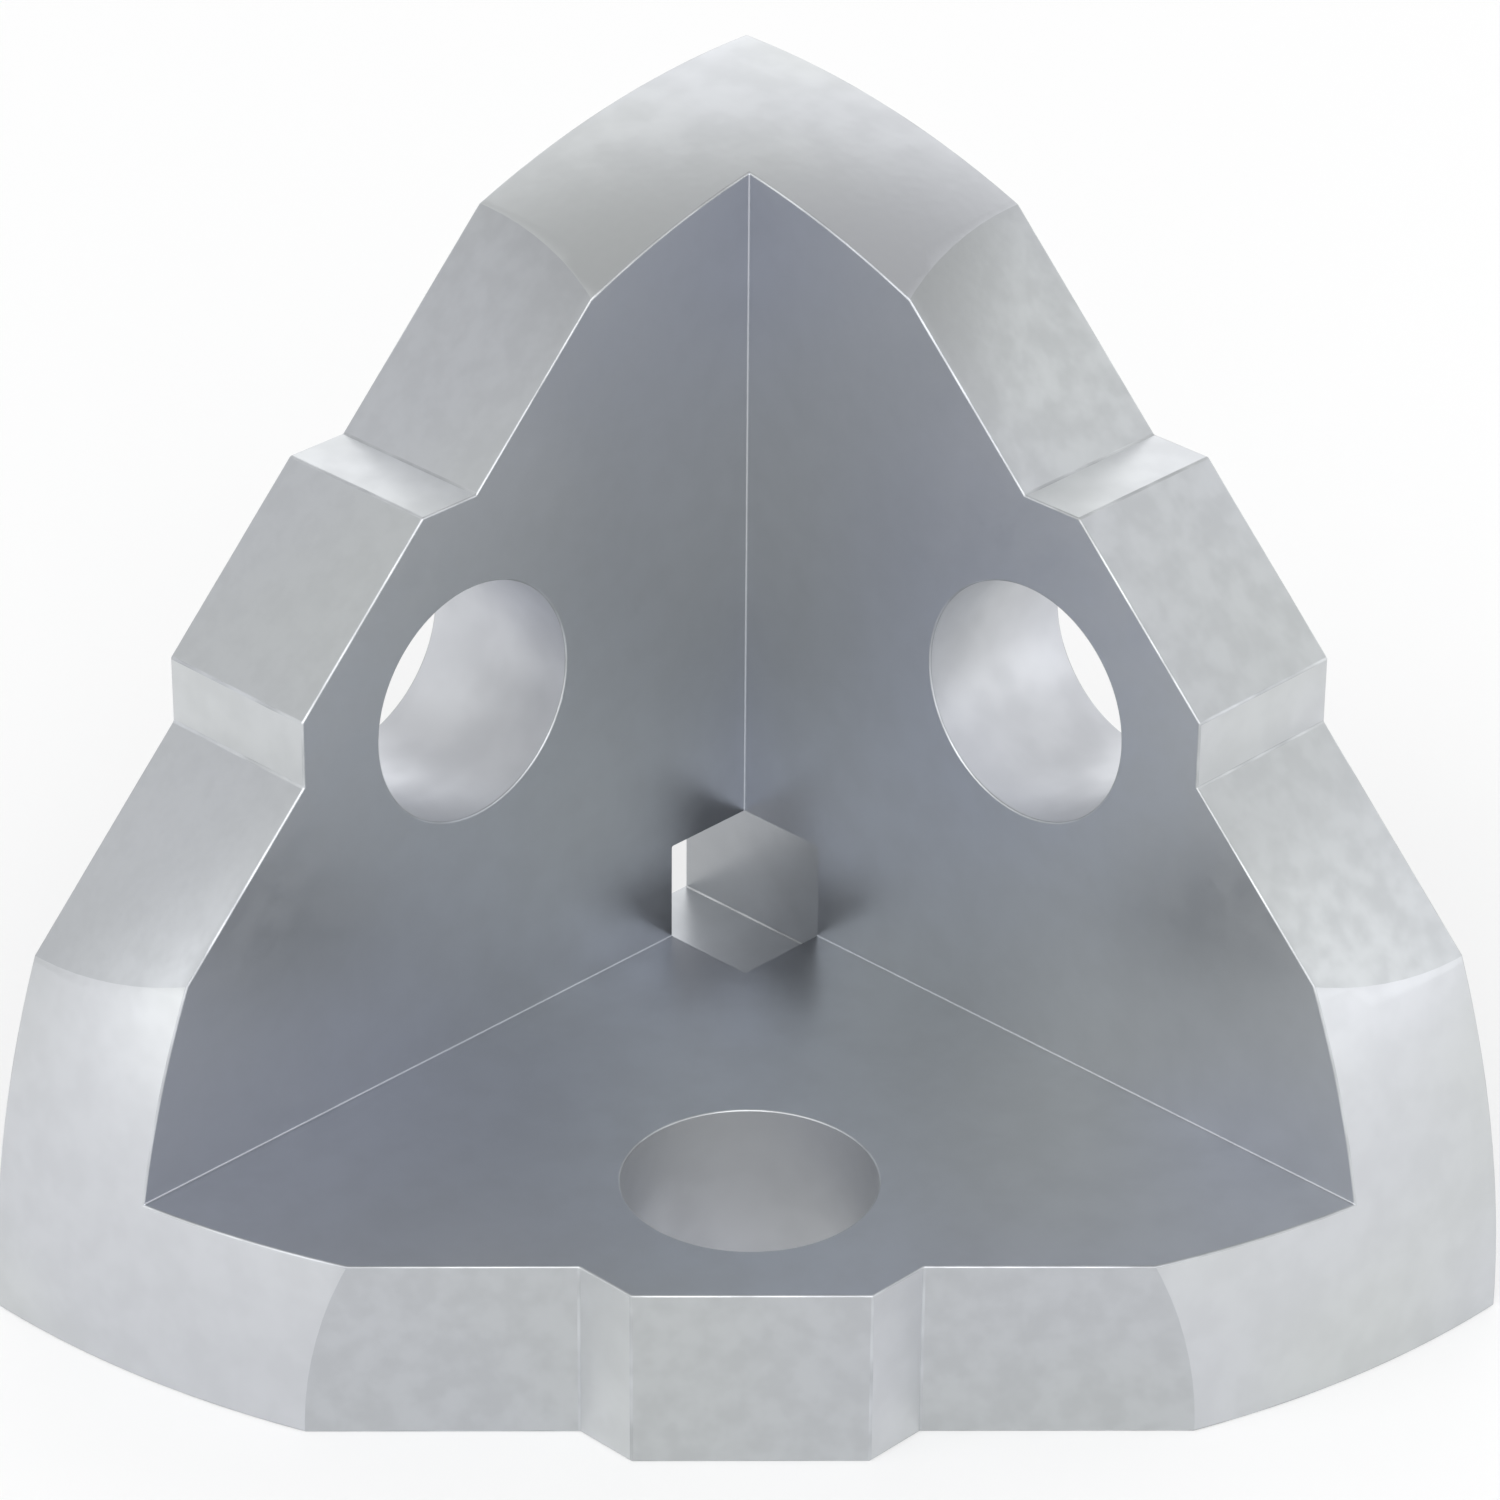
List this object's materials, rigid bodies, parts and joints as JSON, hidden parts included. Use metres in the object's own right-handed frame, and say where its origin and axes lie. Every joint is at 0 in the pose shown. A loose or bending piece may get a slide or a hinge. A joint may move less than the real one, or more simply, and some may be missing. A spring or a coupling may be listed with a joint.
{
  "type": "three way corner connector",
  "caption": "Cast three way corner connector: equal plates at right angles, each bored for a screw into a bar's end, with ball-shaped arm ends for a round cap.",
  "frame": {"origin": "axis of the bottom plate's bore, at the outer face that the plate rests on", "axes": "+Z along the bottom bore, up into the hollow; +X and +Y along the two upright plates' bores, into the hollow"},
  "size_m": [0.0276, 0.0276, 0.0276],
  "materials": {
    "cast_aluminium": "satin, blasted casting, bare metal"
  },
  "bodies": {
    "root": {"corner_connector": "cast_aluminium"}
  },
  "joints": []
}
